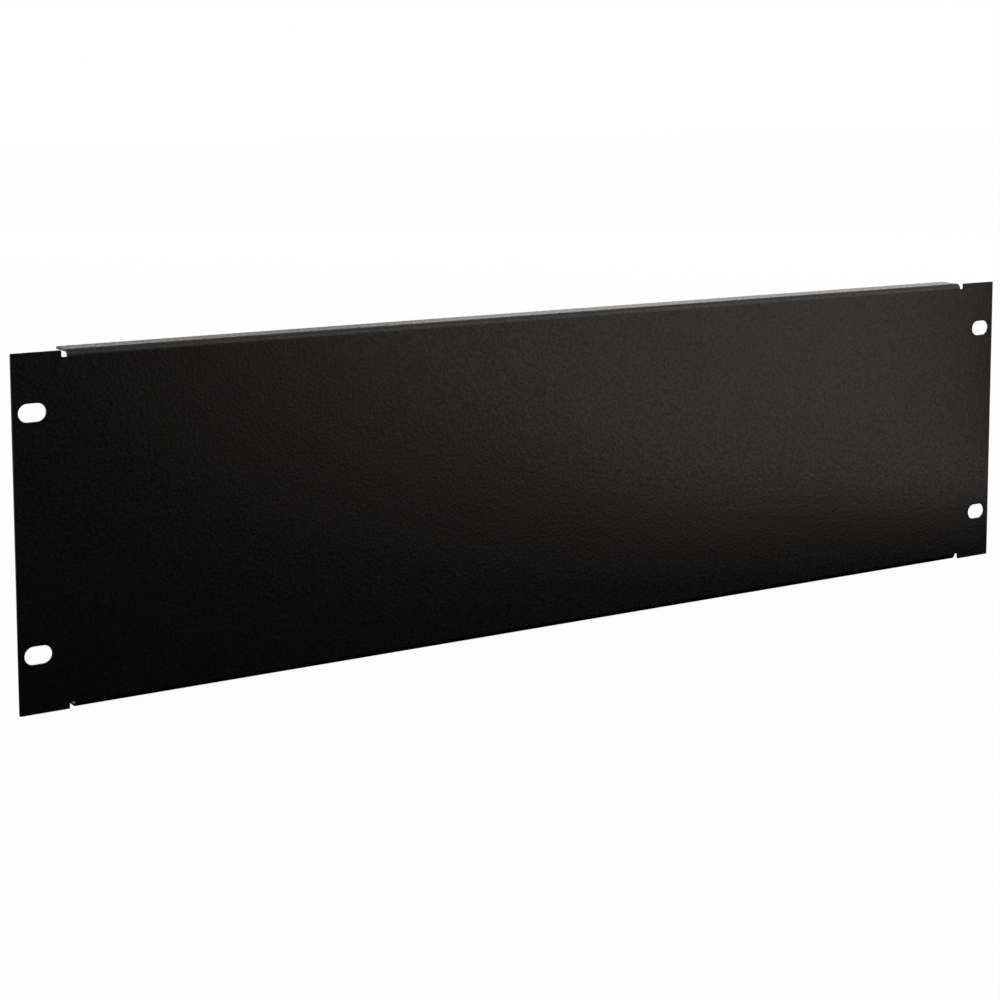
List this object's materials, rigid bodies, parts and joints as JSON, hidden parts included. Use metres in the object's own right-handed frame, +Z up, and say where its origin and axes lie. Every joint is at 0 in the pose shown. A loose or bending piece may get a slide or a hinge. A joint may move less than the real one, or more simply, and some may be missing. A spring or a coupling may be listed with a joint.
{
  "type": "rack blanking panel",
  "caption": "Flat steel filler panel for an equipment rack, with folded stiffening flanges along its long edges and slotted ears at both ends.",
  "frame": {"origin": "centre of the four mounting slots, on the rear face of the ears, which seats on the rack rails", "axes": "+X to the right as seen from the front, +Y into the rack, +Z up; the front face looks along -Y"},
  "size_m": [0.4826, 0.0125, 0.1324],
  "materials": {
    "black_powder_coat": "satin black powder coat with a fine grain, on folded steel sheet"
  },
  "bodies": {
    "root": {"blanking_panel": "black_powder_coat"}
  },
  "joints": []
}
